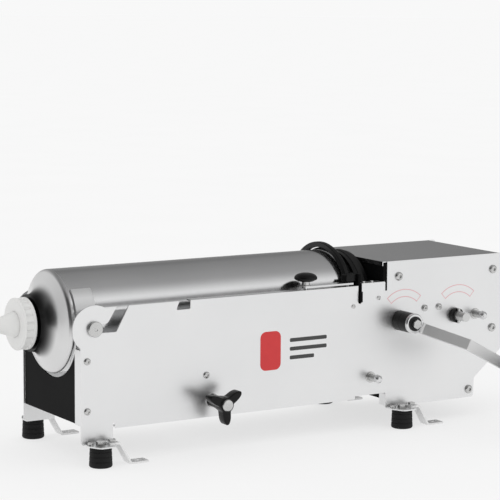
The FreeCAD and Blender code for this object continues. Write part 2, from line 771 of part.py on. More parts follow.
fast_shaft = shaft(fast_x, -131.5, [(-8, 8), (48, 70)])
fast_shaft = fast_shaft.cut(tube("y", (fast_x, shaft_z), (-132, -114), shaft_r + 1, crank_seat_r))
write("fast_shaft", cut_all(fast_shaft, [rod("z", (fast_x, cross_pin_y), (150, 200), 2.5)]))
write("large_gear", wheel(large_teeth, gear_module, gear_y, fast_x, math.pi, gear_span, 20, (48, 70)))
gap_turn = math.pi / 2 + math.pi / pinion_teeth
write("rack_pinion", wheel(pinion_teeth, rack_module, pinion_y, fast_x, gap_turn, (-11, 11), 12, (-8, 8)))
write("fast_spacers", spacer(fast_x, (-88.2, -11)), spacer(fast_x, (11, 43)), spacer(fast_x, (73, 88.2)))
write("fast_collar", tube("y", (fast_x, shaft_z), (-108, -100.9), 12.2, shaft_r))
cross_pin = rod("z", (fast_x, cross_pin_y), (shaft_z - 12.5, shaft_z + 12.5), 2.5)
write("fast_keys_and_pins", key(fast_x, (-8, 8)), key(fast_x, (48, 70)), shaft_clip(fast_x), cross_pin)

slow_shaft = shaft(slow_x, -141, [(52, 70)])
slow_shaft = slow_shaft.cut(tube("y", (slow_x, shaft_z), (-142, -114), shaft_r + 1, crank_seat_r))
slow_tools = [rod("z", (slow_x, cross_pin_y), (150, 200), 2.5)]
slow_tools.append(rod("y", (slow_x, shaft_z), (-142, -118), 4.0))
write("slow_shaft", cut_all(slow_shaft, slow_tools))
small_gap = math.pi / small_teeth
write("small_gear", wheel(small_teeth, gear_module, small_y, slow_x, small_gap, small_span, 17, (52, 70)))
write("slow_spacers", spacer(slow_x, (-88.2, 50)), spacer(slow_x, (72, 88.2)))
cross_pin = rod("z", (slow_x, cross_pin_y), (shaft_z - 12.5, shaft_z + 12.5), 2.5)
write("slow_keys_and_pins", key(slow_x, (52, 70)), shaft_clip(slow_x), cross_pin)
hub_slot = box((slow_x - 2.6, slow_x + 2.6), (-114, -100), (150, 200))
crank_hub = joined(
    tube("y", (slow_x, shaft_z), (-143, -114), 16.4, crank_seat_r),
    tube("y", (slow_x, shaft_z), (-114, -101.2), 16.4, shaft_r))
write("crank_hub", crank_hub.cut(hub_slot))
write("crank_arm", crank_arm())
crank_bolt = joined(
    hexagon("y", (slow_x, shaft_z), (-150.5, -144.8), 14),
    rod("y", (slow_x, shaft_z), (-144.8, -118), 4.0))
write("crank_bolt", crank_bolt, tube("y", (slow_x, shaft_z), (-144.8, -143), 12, 4.0))
grip_x = slow_x + crank_length
arm_face = crank_y - crank_lean - 3.0
write("grip_bolt", crank_turn(joined(
    rod("y", (grip_x, shaft_z), (arm_face - 104, arm_face + 6), 5.0),
    rod("y", (grip_x, shaft_z), (arm_face - 108, arm_face - 104), 9.0),
    hexagon("y", (grip_x, shaft_z), (arm_face + 6, arm_face + 11), 15))))
write("crank_grip", crank_turn(joined(
    cone("y", (grip_x, shaft_z), (arm_face - 1, arm_face - 14), 12, 14.5),
    cone("y", (grip_x, shaft_z), (arm_face - 14, arm_face - 60), 14.5, 16),
    cone("y", (grip_x, shaft_z), (arm_face - 60, arm_face - 103.5), 16, 11)).cut(
        rod("y", (grip_x, shaft_z), (arm_face - 110, arm_face + 1), 5.0 + running))))


# hand knob of the cross brace

def lobed_knob():
    """A hub with three round lobes standing out from its outer end."""
    place = (clamp_x, clamp_z)
    pieces = [cone("y", place, (-103.2, -130), 9, 12), rod("y", place, (-147, -130), 12)]
    for i in range(3):
        turn = math.radians(34 + 120 * i)
        centre = (clamp_x + 23.5 * math.cos(turn), clamp_z + 23.5 * math.sin(turn))
        pieces.append(rod("y", centre, (-146, -128), 8.5))
        arm = box((clamp_x, clamp_x + 23.5), (-146, -128), (clamp_z - 7, clamp_z + 7))
        arm.rotate(Vector(clamp_x, 0, clamp_z), Vector(0, 1, 0), -math.degrees(turn))
        pieces.append(arm)
    return joined(*pieces).cut(rod("y", place, (-148, -100), 5.0))


write("clamp_washer", tube("y", (clamp_x, clamp_z), (-102.4, -100.7), 11.0, 5.0 + running))
clamp_cap = joined(
    rod("y", (clamp_x, clamp_z), (-149, -147), 9.2),
    cone("y", (clamp_x, clamp_z), (-149, -150.5), 9.2, 7.5))
write("clamp_screw", rod("y", (clamp_x, clamp_z), (-147, -86.5), 5.0), clamp_cap)
write("clamp_knob", lobed_knob())
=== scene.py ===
import json
import math

import bmesh
import bpy
from mathutils import Matrix, Vector


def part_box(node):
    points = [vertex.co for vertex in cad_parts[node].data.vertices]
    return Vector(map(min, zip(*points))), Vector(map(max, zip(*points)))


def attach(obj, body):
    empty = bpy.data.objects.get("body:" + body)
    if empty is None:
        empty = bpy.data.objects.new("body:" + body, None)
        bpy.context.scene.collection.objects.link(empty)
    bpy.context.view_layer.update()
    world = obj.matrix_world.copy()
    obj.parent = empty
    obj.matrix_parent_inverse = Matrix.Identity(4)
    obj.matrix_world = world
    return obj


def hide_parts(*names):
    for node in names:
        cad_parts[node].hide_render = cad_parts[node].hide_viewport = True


# Horizontal hand-cranked sausage filler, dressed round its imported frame.
# X runs from the nozzle to the gearbox, -Y is the crank's side, Z is up.

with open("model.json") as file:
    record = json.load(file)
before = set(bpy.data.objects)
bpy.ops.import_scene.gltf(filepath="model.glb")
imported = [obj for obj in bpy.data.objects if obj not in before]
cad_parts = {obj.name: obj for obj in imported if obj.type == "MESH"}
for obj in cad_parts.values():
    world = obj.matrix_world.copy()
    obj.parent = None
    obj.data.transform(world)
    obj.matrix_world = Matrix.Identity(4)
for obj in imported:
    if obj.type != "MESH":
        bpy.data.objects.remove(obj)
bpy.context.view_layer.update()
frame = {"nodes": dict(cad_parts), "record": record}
scene = bpy.context.scene
print("frame loaded:", len(frame["nodes"]), "nodes")


# camera

view = {
    "stand": (-1.7081, -2.7615, 0.7044),
    "heading": 31.63,  # degrees from +Y towards +X
    "dip": 7.22,
    "roll": 0.34,
    "lens": 145.98,
    "sensor": 36.0,
}


def setCamera(settings):
    heading, dip, roll = (math.radians(settings[k]) for k in ("heading", "dip", "roll"))
    forward = Vector((math.cos(dip) * math.sin(heading), math.cos(dip) * math.cos(heading), -math.sin(dip)))
    right = Vector((math.cos(heading), -math.sin(heading), 0))
    up = right.cross(forward)
    across = right * math.cos(roll) + up * math.sin(roll)
    above = up * math.cos(roll) - right * math.sin(roll)
    camera = bpy.data.objects.new("studioCamera", bpy.data.cameras.new("studioCamera"))
    camera.data.lens = settings["lens"]
    camera.data.sensor_width = settings["sensor"]
    camera.data.clip_end = 60
    turn = Matrix((across, above, -forward)).transposed().to_4x4()
    camera.matrix_world = Matrix.Translation(settings["stand"]) @ turn
    scene.collection.objects.link(camera)
    scene.camera = camera


setCamera(view)
print("camera placed")


# finishes

class Wire:  # one value in a material: arithmetic on it adds Math nodes
    def __init__(self, finish, socket):
        self.finish = finish
        self.socket = socket

    def __add__(self, other):
        return self.finish.maths("ADD", self, other)

    def __radd__(self, other):
        return self.finish.maths("ADD", other, self)

    def __sub__(self, other):
        return self.finish.maths("SUBTRACT", self, other)

    def __rsub__(self, other):
        return self.finish.maths("SUBTRACT", other, self)

    def __mul__(self, other):
        return self.finish.maths("MULTIPLY", self, other)

    def __rmul__(self, other):
        return self.finish.maths("MULTIPLY", other, self)


class Finish:  # a material, or the studio's surroundings, being made
    def __init__(self, name, around=None):
        self.material = around or bpy.data.materials.new(name)
        self.material.use_nodes = True
        self.tree = self.material.node_tree
        self.shader = self.tree.nodes["Background" if around else "Principled BSDF"]
        self.place = self.node("TexCoord", output="Generated" if around else "Object")

    def node(self, kind, settings=None, inputs=None, output=0):
        made = self.tree.nodes.new("ShaderNode" + kind)
        for name, value in (settings or {}).items():
            if name == "stops":
                ramp = made.color_ramp
                while len(ramp.elements) < len(value):
                    ramp.elements.new(0.5)
                for element, (at, shade) in zip(ramp.elements, value):
                    element.position = at
                    element.color = tone(shade)
            else:
                setattr(made, name, value)
        for name, value in (inputs or {}).items():
            self.feed(made.inputs[name], value)
        return Wire(self, made.outputs[output])

    def feed(self, socket, value):
        if isinstance(value, Wire):
            self.tree.links.new(value.socket, socket)
        else:
            socket.default_value = value

    def maths(self, operation, first, second):
        return self.node("Math", {"operation": operation}, {0: first, 1: second})

    def between(self, value, low, high):  # 0 below low, 1 above high, smooth in between
        inputs = {"Value": value, "From Min": low, "From Max": high}
        return self.node("MapRange", {"interpolation_type": "SMOOTHSTEP"}, inputs)

    def axisDistance(self, height):  # squared distance from the barrel's axis
        across = self.node("SeparateXYZ", None, {"Vector": self.place}, output="Y")
        above = self.node("SeparateXYZ", None, {"Vector": self.place}, output="Z") - height
        return across * across + above * above

    def stretched(self, scale):
        return self.node("Mapping", None, {"Vector": self.place, "Scale": scale})

    def noise(self, scale, detail=3.0, vector=None):
        values = {"Vector": vector or self.place, "Scale": scale, "Detail": detail}
        return self.node("TexNoise", None, values, output="Fac")

    def blendColour(self, mask, first, second):
        return self.node("Mix", {"data_type": "RGBA"}, {0: mask, 6: first, 7: second}, output=2)

    def bump(self, height, strength, distance):
        return self.node("Bump", None, {"Height": height, "Strength": strength, "Distance": distance})

    def set(self, **values):
        for name, value in values.items():
            self.feed(self.shader.inputs[name.replace("_", " ")], value)
        return self


def tone(red, green=None, blue=None):
    if green is None:
        green = blue = red
    return (red, green, blue, 1.0)


sheet = {"smudgeRoughness": 0.10, "lineShare": 0.7, "depth": 0.0002}


def sheetSteel(name, settings):
    finish = Finish(name)
    lines = finish.noise(1.0, 2.0, finish.stretched(settings["grain"]))
    smudges = finish.noise(settings["smudgeScale"], 4.0)
    specks = finish.noise(settings["speckScale"], 2.0)
    uneven = (lines - 0.5) * settings["lineRoughness"] + (smudges - 0.5) * sheet["smudgeRoughness"]
    height = lines * sheet["lineShare"] + specks * (1 - sheet["lineShare"])
    finish.set(
        Base_Color=finish.blendColour(smudges, settings["dark"], settings["light"]), Metallic=1.0,
        Roughness=settings["roughness"] + uneven,
        Normal=finish.bump(height, settings["bump"], sheet["depth"]))
    return finish.material


coat = {"peel": 650.0, "dust": 9.0, "shades": (0.8, 1.5), "uneven": 0.18, "gloss": 0.05, "bump": 0.22,
        "depth": 0.0004}


def powderCoat(name, colour, roughness):
    finish = Finish(name)
    peel = finish.noise(coat["peel"], 2.0)
    dust = finish.noise(coat["dust"], 5.0)
    low, high = (tone(*(c * shade for c in colour)) for shade in coat["shades"])
    finish.set(
        Base_Color=finish.blendColour(dust, low, high),
        Roughness=roughness + (dust - 0.5) * coat["uneven"], Specular_IOR_Level=coat["gloss"],
        Normal=finish.bump(peel, coat["bump"], coat["depth"]))
    return finish.material


mould = {"clouds": 14.0, "cloudRoughness": 0.15, "grainRoughness": 0.08, "bump": 0.15, "depth": 0.0003}


def moulded(name, colour, roughness, mottle, grain, gloss=0.5):
    finish = Finish(name)
    grains = finish.noise(grain, 3.0)
    clouds = finish.noise(mould["clouds"], 4.0)
    low = tone(*(c * (1 - mottle) for c in colour))
    high = tone(*(c * (1 + mottle) for c in colour))
    uneven = (clouds - 0.5) * mould["cloudRoughness"] + (grains - 0.5) * mould["grainRoughness"]
    finish.set(
        Base_Color=finish.blendColour(clouds, low, high), Roughness=roughness + uneven,
        Specular_IOR_Level=gloss, Normal=finish.bump(grains, mould["bump"], mould["depth"]))
    return finish.material


turned = {"rings": (420, 420, 420), "film": 28.0, "ringRoughness": 0.12, "bump": 0.06, "depth": 0.0002}


def turnedMetal(name, light, dark, roughness, oil):
    finish = Finish(name)
    rings = finish.noise(1.0, 2.0, finish.stretched(turned["rings"]))
    film = finish.noise(turned["film"], 4.0)
    finish.set(
        Base_Color=finish.blendColour(film, dark, light), Metallic=1.0,
        Roughness=roughness + (rings - 0.5) * turned["ringRoughness"] + (film - 0.5) * oil,
        Normal=finish.bump(rings, turned["bump"], turned["depth"]))
    return finish.material


finishes = {
    "stainless_plate": sheetSteel("satinSheet", {
        "grain": (6, 700, 700), "smudgeScale": 5.0, "speckScale": 900.0, "dark": tone(0.74, 0.745, 0.75),
        "light": tone(0.86, 0.86, 0.86), "roughness": 0.34, "lineRoughness": 0.14, "bump": 0.05}),
    "stainless_polished": sheetSteel("polishedSteel", {
        "grain": (700, 5, 5), "smudgeScale": 7.0, "speckScale": 700.0, "dark": tone(0.66, 0.665, 0.67),
        "light": tone(0.78, 0.78, 0.785), "roughness": 0.17, "lineRoughness": 0.08, "bump": 0.02}),
    "steel_fastener": turnedMetal("platedSteel", tone(0.68, 0.68, 0.67), tone(0.5, 0.5, 0.5), 0.27, 0.12),
    "machined_steel": turnedMetal("machinedSteel", tone(0.72, 0.72, 0.71), tone(0.54, 0.54, 0.54), 0.33, 0.2),
    "black_painted_steel": powderCoat("blackPowderCoat", (0.004, 0.004, 0.0042), 0.55),
    "black_plastic": moulded("blackPlastic", (0.004, 0.004, 0.0042), 0.28, 0.3, 500.0, 0.2),
    "white_plastic": moulded("whitePlastic", (0.72, 0.72, 0.71), 0.38, 0.04, 420.0),
    "natural_plastic": moulded("naturalPlastic", (0.78, 0.76, 0.70), 0.42, 0.05, 420.0),
    "bronze": turnedMetal("bronze", tone(0.62, 0.42, 0.20), tone(0.45, 0.30, 0.14), 0.32, 0.15),
    "aluminium": turnedMetal("milledAluminium", tone(0.74, 0.74, 0.75), tone(0.6, 0.6, 0.61), 0.36, 0.12),
    "rubber": moulded("blackRubber", (0.009, 0.009, 0.009), 0.60, 0.35, 260.0, 0.2),
    "seal_rubber": moulded("sealRubber", (0.012, 0.012, 0.012), 0.58, 0.12, 300.0, 0.2),
}


dull = {"clouds": 12.0, "grain": (600, 8, 600), "roughness": 0.42, "uneven": 0.14, "bump": 0.05,
        "depth": 0.0002}


def dullSteel(name, light, dark, metal):
    finish = Finish(name)
    clouds = finish.noise(dull["clouds"], 4.0)
    lines = finish.noise(1.0, 2.0, finish.stretched(dull["grain"]))
    finish.set(
        Base_Color=finish.blendColour(clouds, dark, light), Metallic=metal,
        Roughness=dull["roughness"] + (lines - 0.5) * dull["uneven"],
        Normal=finish.bump(lines, dull["bump"], dull["depth"]))
    return finish.material


strapSteel = dullSteel("strapSteel", tone(0.84), tone(0.74), 0.45)
armSteel = dullSteel("armSteel", tone(0.76), tone(0.68), 0.72)
# near-black steel for the hub and the fast collar; on the crank washer it is painted shade for the recess
# round the bolt head
hubSteel = dullSteel("hubSteel", tone(0.05), tone(0.015), 0.9)
slotOf = {part["node"]: part["material_slot"] for part in frame["record"]["subparts"]}
for nodeName, nodeObject in frame["nodes"].items():
    for materialSlot in nodeObject.material_slots:
        materialSlot.material = finishes[slotOf[nodeName]]
for nodeName, ownFinish in (("hold_down_straps", strapSteel), ("fast_collar", hubSteel)):
    for materialSlot in frame["nodes"][nodeName].material_slots:
        materialSlot.material = ownFinish
print("finishes made:", len(finishes))


# ways of making a piece

def solidBoxes(node):  # lowest and highest corner of each separate solid of a node
    copy = bmesh.new()
    copy.from_mesh(frame["nodes"][node].data)
    bmesh.ops.remove_doubles(copy, verts=copy.verts, dist=1e-6)
    left = set(copy.verts)
    boxes = []
    while left:
        todo = [left.pop()]
        island = []
        while todo:
            vertex = todo.pop()
            island.append(vertex.co.copy())
            for edge in vertex.link_edges:
                other = edge.other_vert(vertex)
                if other in left:
                    left.remove(other)
                    todo.append(other)
        low = Vector([min(p[i] for p in island) for i in range(3)])
        high = Vector([max(p[i] for p in island) for i in range(3)])
        boxes.append((low, high))
    copy.free()
    return sorted(boxes, key=lambda pair: tuple(round(c, 4) for c in pair[0]))


def middle(pair):
    return (pair[0] + pair[1]) / 2


def outward(pair):  # the axis that points out of the side that a solid is on
    return "y" if middle(pair).y > 0 else "-y"


def movedCorners(region):  # the new corners of an extruded face
    return [v for v in region["geom"] if isinstance(v, bmesh.types.BMVert)]


turns = {  # from a profile drawn along X with its radius on Z, to the axis wanted
    "x": Matrix.Identity(4),
    "y": Matrix.Rotation(math.pi / 2, 4, "Z"),
    "-y": Matrix.Rotation(-math.pi / 2, 4, "Z"),
    "z": Matrix.Rotation(-math.pi / 2, 4, "Y"),
}


def lathe(mesh, profile, centre, axis, steps, closed=False):  # profile is (along, radius) in metres
    made = [mesh.verts.new((along, 0, radius)) for along, radius in profile]
    edges = [mesh.edges.new(pair) for pair in zip(made, made[1:])]
    if closed:
        edges.append(mesh.edges.new((made[-1], made[0])))
    before = set(mesh.verts) - set(made)
    bmesh.ops.spin(
        mesh, geom=made + edges, cent=(0, 0, 0), axis=(1, 0, 0), angle=2 * math.pi, steps=steps,
        use_merge=True)
    fresh = [v for v in mesh.verts if v not in before]
    bmesh.ops.remove_doubles(mesh, verts=fresh, dist=1e-6)
    fresh = [v for v in mesh.verts if v not in before]
    bmesh.ops.transform(mesh, matrix=Matrix.Translation(centre) @ turns[axis], verts=fresh)
    return fresh


def prism(mesh, sides, radius, along, centre, axis, turn=0.0):  # a straight bar of that many sides
    before = set(mesh.verts)
    bmesh.ops.create_cone(
        mesh, cap_ends=True, segments=sides, radius1=radius, radius2=radius, depth=along[1] - along[0])
    fresh = [v for v in mesh.verts if v not in before]
    lie = Matrix.Rotation(math.pi / 2, 4, "Y") @ Matrix.Rotation(turn, 4, "Z")
    shift = Matrix.Translation(((along[0] + along[1]) / 2, 0, 0))
    bmesh.ops.transform(mesh, matrix=Matrix.Translation(centre) @ turns[axis] @ shift @ lie, verts=fresh)
    return fresh


def block(mesh, low, high):
    size = Vector(high) - Vector(low)
    place = Matrix.Translation((Vector(low) + Vector(high)) / 2) @ Matrix.Diagonal((*size, 1))
    return bmesh.ops.create_cube(mesh, size=1.0, matrix=place)["verts"]


def piece(name, mesh, body, slot, replaced=(), bevel=0.0, segments=2, smooth=32, finish=None):
    bmesh.ops.recalc_face_normals(mesh, faces=mesh.faces)
    data = bpy.data.meshes.new(name)
    mesh.to_mesh(data)
    mesh.free()
    for polygon in data.polygons:
        polygon.use_smooth = True
    data.set_sharp_from_angle(angle=math.radians(smooth))
    thing = bpy.data.objects.new(name, data)
    scene.collection.objects.link(thing)
    data.materials.append(finish or finishes[slot])
    if bevel:
        edge = thing.modifiers.new("edges", "BEVEL")
        edge.width = bevel
        edge.segments = segments
        edge.limit_method = "ANGLE"
        edge.angle_limit = math.radians(smooth)
    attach(thing, body)
    if replaced:
        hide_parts(*replaced)
    return thing


# barrel

barrel = {
    "wall": 0.0015,
    "steps": 160,
    "lip": 0.0006,
    "rim": 0.008,
    "faceLow": 0.060,
    "faceLean": 68,  # degrees from the axis
    "flare": 0.026,
    "darkNeck": (0.043, 0.056),  # the metal darkens between these radii
    "neckRadius": 0.035,
    "boreRadius": 0.027,
    "arcSteps": 20,
    "threadStart": 0.002,
    "threadPitch": 0.004,
    "threadDepth": 0.0007,
    "threadShape": ((0, 0), (0.3, 1), (0.5, 1), (0.8, 0)),  # part of a pitch along, part of the depth down
}
tubeLow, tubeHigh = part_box("barrel_tube")
axisHeight = middle((tubeLow, tubeHigh)).z
barrelRadius = (tubeHigh.z - tubeLow.z) / 2


def makeBarrelTube(settings):
    mesh = bmesh.new()
    inner = barrelRadius - settings["wall"]
    length = tubeHigh.x - tubeLow.x
    lip = settings["lip"]
    profile = [
        (0, inner), (0, barrelRadius), (length - lip, barrelRadius), (length, barrelRadius - lip),
        (length, inner)]
    lathe(mesh, profile, (tubeLow.x, 0, axisHeight), "x", settings["steps"], closed=True)
    return piece("barrelTube", mesh, "barrel", "stainless_polished", ["barrel_tube"], smooth=40)


def spunEnd(settings, thinner):  # half of the spun end, from the tube's rim to the neck
    lean = math.radians(settings["faceLean"])
    steps = settings["arcSteps"]
    rim, flare = settings["rim"], settings["flare"]
    centre = barrelRadius - rim
    footAlong, footRadius = -rim * math.sin(lean), centre + rim * math.cos(lean)
    faceAlong = footAlong - (footRadius - settings["faceLow"]) / math.tan(lean)
    flareAlong = faceAlong - flare * math.sin(lean)
    flareHeight = settings["faceLow"] + flare * math.cos(lean)
    rimTurns = [lean * i / steps for i in range(steps + 1)]
    points = [((thinner - rim) * math.sin(t), centre + (rim - thinner) * math.cos(t)) for t in rimTurns]
    wide = flare + thinner
    last = math.asin(thinner / wide)
    flareTurns = [lean + (last - lean) * i / steps for i in range(steps + 1)]
    return points + [(flareAlong + wide * math.sin(t), flareHeight - wide * math.cos(t)) for t in flareTurns]


def makeDome(settings):
    low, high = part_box("barrel_dome")
    outer = spunEnd(settings, 0.0)
    inner = spunEnd(settings, settings["wall"])
    step = outer[-1][0]
    neckEnd = low.x - high.x
    crest, bore, pitch = settings["neckRadius"], settings["boreRadius"], settings["threadPitch"]
    neck = [(step, crest)]
    along = step - settings["threadStart"]
    while along - pitch > neckEnd:
        for share, sunk in settings["threadShape"]:
            neck.append((along - pitch * share, crest - settings["threadDepth"] * sunk))
        along -= pitch
    neck += [(neckEnd, crest), (neckEnd, bore), (inner[-1][0], bore)]
    mesh = bmesh.new()
    lathe(mesh, outer + neck + inner[::-1], (high.x, 0, axisHeight), "x", settings["steps"], closed=True)
    return piece(
        "barrelDome", mesh, "barrel", "stainless_plate", ["barrel_dome"], smooth=35,
        finish=spunFinish(settings))


spun = {"rings": 260.0, "clouds": 9.0, "steel": (0.66, 0.76), "neck": 0.012, "roughness": 0.30,
        "ringRoughness": 0.06, "cloudRoughness": 0.08, "bump": 0.03, "depth": 0.0002}


def spunFinish(settings):
    finish = Finish("spunSteel")
    away = finish.axisDistance(axisHeight)
    edge, end = (r * r for r in settings["darkNeck"])
    bright = finish.between(away, edge, end)
    rings = finish.noise(spun["rings"], 2.0)
    clouds = finish.noise(spun["clouds"], 4.0)
    steel = finish.blendColour(clouds, *(tone(shade) for shade in spun["steel"]))
    uneven = (rings - 0.5) * spun["ringRoughness"] + (clouds - 0.5) * spun["cloudRoughness"]
    finish.set(
        Base_Color=finish.blendColour(bright, tone(spun["neck"]), steel), Metallic=1.0,
        Roughness=spun["roughness"] + uneven, Normal=finish.bump(rings, spun["bump"], spun["depth"]))
    return finish.material


def sweep(mesh, section, centreHeight, start, angle, steps):  # a section on the XZ plane, swept about X
    made = [mesh.verts.new((x, 0, radius)) for x, radius in section]
    face = mesh.faces.new(made)
    before = set(mesh.verts) - set(made)
    bmesh.ops.rotate(mesh, verts=made, cent=(0, 0, 0), matrix=Matrix.Rotation(start, 3, "X"))
    bmesh.ops.spin(
        mesh, geom=[face] + list(face.edges) + made, cent=(0, 0, 0), axis=(1, 0, 0), angle=angle, steps=steps)
    fresh = [v for v in mesh.verts if v not in before]
    bmesh.ops.translate(mesh, verts=fresh, vec=(0, 0, centreHeight))


pads = {"steps": 24, "round": 0.0006}


def makePads(settings):
    low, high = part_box("trunnion_pads")
    half = math.asin((high.z - axisHeight) / high.y)
    mesh = bmesh.new()
    section = [(low.x, barrelRadius), (high.x, barrelRadius), (high.x, high.y), (low.x, high.y)]
    for middleTurn in (-math.pi / 2, math.pi / 2):
        sweep(mesh, section, axisHeight, middleTurn - half, 2 * half, settings["steps"])
    return piece(
        "trunnionPads", mesh, "barrel", "stainless_plate", ["trunnion_pads"], bevel=settings["round"],
        smooth=40)


trunnion = {
    "bossRadius": 0.013,
    "bossEnd": 0.089,
    "bossChamfer": 0.001,
    "pinRadius": 0.0069,
    "headStart": 0.1012,
    "headRadius": 0.012,
    "headChamfer": 0.0005,
    "headCrown": ((0.0014, 0), (0.0004, 0.0008), (0, 0.0024)),  # down from the end, in from the rim
    "dimple": ((0.0002, 0.003), (0.0007, 0.0022), (0.0008, 0)),  # down from the end, radius
    "steps": 48,
}


def makeTrunnions(settings):
    boss, bossEnd, bossEdge = (settings[k] for k in ("bossRadius", "bossEnd", "bossChamfer"))
    head, headStart, headEdge = (settings[k] for k in ("headRadius", "headStart", "headChamfer"))
    pin = settings["pinRadius"]
    mesh = bmesh.new()
    for pair in solidBoxes("trunnions"):
        start, end = sorted(abs(corner.y) for corner in pair)
        profile = [
            (start, 0), (start, boss), (bossEnd - bossEdge, boss), (bossEnd, boss - bossEdge), (bossEnd, pin),
            (headStart, pin), (headStart, head - headEdge), (headStart + headEdge, head)]
        profile += [(end - down, head - inward) for down, inward in settings["headCrown"]]
        profile += [(end - down, radius) for down, radius in settings["dimple"]]
        lathe(mesh, profile, (middle(pair).x, 0, axisHeight), outward(pair), settings["steps"])
    return piece("trunnionPins", mesh, "barrel", "steel_fastener", ["trunnions"], smooth=28)


hoop = {
    "outer": 0.0899,
    "inner": 0.0809,
    "raised": 0.003,  # its centre over the barrel's axis
    "width": 0.009,
    "back": 0.004,
    "round": 0.0018,
    "footMiddle": 0.0839,
    "footHalf": 0.0079,
    "footHeight": 0.013,
    "steps": 72,
}


def makeHoop(settings):
    low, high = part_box("hoop_handle")
    back = high.x - settings["back"]
    front = back - settings["width"]
    centre = axisHeight + settings["raised"]
    inner, outer, half = settings["inner"], settings["outer"], settings["footHalf"]
    section = [(front, inner), (back, inner), (back, outer), (front, outer)]
    halfTurn = math.acos((low.z - centre) / outer)
    mesh = bmesh.new()
    sweep(mesh, section, centre, -halfTurn, 2 * halfTurn, settings["steps"])
    for across in (-settings["footMiddle"], settings["footMiddle"]):
        block(mesh, (low.x, across - half, low.z), (high.x, across + half, low.z + settings["footHeight"]))
    return piece(
        "hoopHandle", mesh, "barrel", "black_plastic", ["hoop_handle"], bevel=settings["round"], segments=4,
        smooth=50)


makeBarrelTube(barrel)
makeDome(barrel)
makePads(pads)
makeTrunnions(trunnion)
makeHoop(hoop)
print("barrel made")


# ring nut and nozzle

ringNut = {
    "mouth": 0.020,
    "face": ((0, 0.0365), (0.0008, 0.0372)),  # the raised front face's edge
    "rim": (0.0018, 0.0032),
    "rimChamfer": 0.0012,
    "belt": (0.0038, 0.0094, 0.0146),  # the notched belt between the rims
    "beltSunk": 0.001,
    "rearRim": 0.0152,
    "bore": 0.03535,
    "boreStart": 0.0040,
    "boreChamfer": 0.0008,
    "notches": 20,
    "notchDepth": 0.0021,
    "notchShare": 0.42,
    "slack": 0.0003,
    "steps": 240,
}


def makeRingNut(settings):
    low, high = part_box("ring_nut")
    outer = (high.z - low.z) / 2
    length = high.x - low.x
    grip = outer - settings["beltSunk"]
    mouth, bore, boreStart, boreEdge = (settings[k] for k in ("mouth", "bore", "boreStart", "boreChamfer"))
    rimEdge, faceEnd = settings["rimChamfer"], settings["face"][-1][0]
    profile = [(0, mouth), *settings["face"], (faceEnd, outer - rimEdge)]
    profile += [(along, outer) for along in settings["rim"]] + [(along, grip) for along in settings["belt"]]
    profile += [
        (settings["rearRim"], outer), (length - rimEdge, outer), (length, outer - rimEdge),
        (length, bore + boreEdge), (length - boreEdge, bore), (boreStart, bore), (boreStart, mouth)]
    mesh = bmesh.new()
    fresh = lathe(mesh, profile, (0, 0, 0), "x", settings["steps"], closed=True)
    first, last = settings["belt"][0] - settings["slack"], settings["belt"][-1] + settings["slack"]
    for vertex in fresh:
        radius = math.hypot(vertex.co.y, vertex.co.z)
        if first < vertex.co.x < last and radius > grip - settings["slack"]:
            part = (math.atan2(vertex.co.z, vertex.co.y) / (2 * math.pi) * settings["notches"]) % 1.0
            away = abs(part - 0.5) * 2  # 0 in the middle of a notch
            if away < settings["notchShare"]:
                sink = settings["notchDepth"] * math.cos(away / settings["notchShare"] * math.pi / 2)
                vertex.co.y *= (radius - sink) / radius
                vertex.co.z *= (radius - sink) / radius
    bmesh.ops.translate(mesh, verts=mesh.verts, vec=(low.x, 0, axisHeight))
    return piece("ringNut", mesh, "ring_nut", "white_plastic", ["ring_nut"], smooth=38)


nozzle = {
    "boreRadius": 0.010,
    "tip": ((0, 0.0104), (0.0003, 0.0113), (0.0012, 0.0119)),  # along, radius
    "tubeRadius": 0.012,
    "tubeEnd": 0.12,
    "cone": ((0.1225, 0.0122), (0.134, 0.0160), (0.1435, 0.0192)),
    "shoulder": (0.1460, 0.1512),
    "shoulderRadius": 0.0196,
    "flangeRadius": 0.034,
    "flangeChamfer": 0.0005,
    "mouthRadius": 0.017,
    "mouth": ((0, 0.001), (0.002, -0.0004)),  # down from the flange's face, more than the radius
    "funnelStart": 0.124,
    "steps": 96,
}


def makeNozzle(settings):
    low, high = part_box("nozzle")
    length = high.x - low.x
    bore, tubeEnd, mouthRadius = settings["boreRadius"], settings["tubeEnd"], settings["mouthRadius"]
    flange, edge, shoulderEnd = settings["flangeRadius"], settings["flangeChamfer"], settings["shoulder"][-1]
    profile = [*settings["tip"], (tubeEnd, settings["tubeRadius"]), *settings["cone"]]
    profile += [(along, settings["shoulderRadius"]) for along in settings["shoulder"]]
    profile += [
        (shoulderEnd, flange - edge), (shoulderEnd + edge, flange), (length - edge, flange),
        (length, flange - edge)]
    profile += [(length - down, mouthRadius + more) for down, more in settings["mouth"]]
    profile += [(settings["funnelStart"], bore), (tubeEnd / 2, bore)]
    mesh = bmesh.new()
    lathe(mesh, profile, (low.x, 0, axisHeight), "x", settings["steps"], closed=True)
    return piece("nozzleTube", mesh, "nozzle", "white_plastic", ["nozzle"], smooth=30)


makeRingNut(ringNut)
makeNozzle(nozzle)
print("nozzle made")


# screws, studs and feet

plateFace = 0.1005  # from the middle of the machine to the side plates' outer faces
hexTurn = math.radians(30)  # how six-sided bars are turned on their axis

screwHeads = {
    "gearbox_screws": {"radius": 0.0072, "height": 0.0044, "socket": 0.0050},
    "frame_screws": {"radius": 0.0054, "height": 0.0032, "socket": 0.0040},
}
buttonShape = {
    "first": math.radians(12),  # the domed head starts at this angle
    "steps": 8,
    "crown": 0.8,
    "sunk": 0.0002,
    "edge": 0.0003,
    "socketWall": (0.55, 0.94),  # depth as a part of the height, narrowing of the bottom
    "socketTip": 0.62,
    "sides": 36,
    "shank": 0.55,  # as a part of the head's radius
    "shankSides": 24,
}


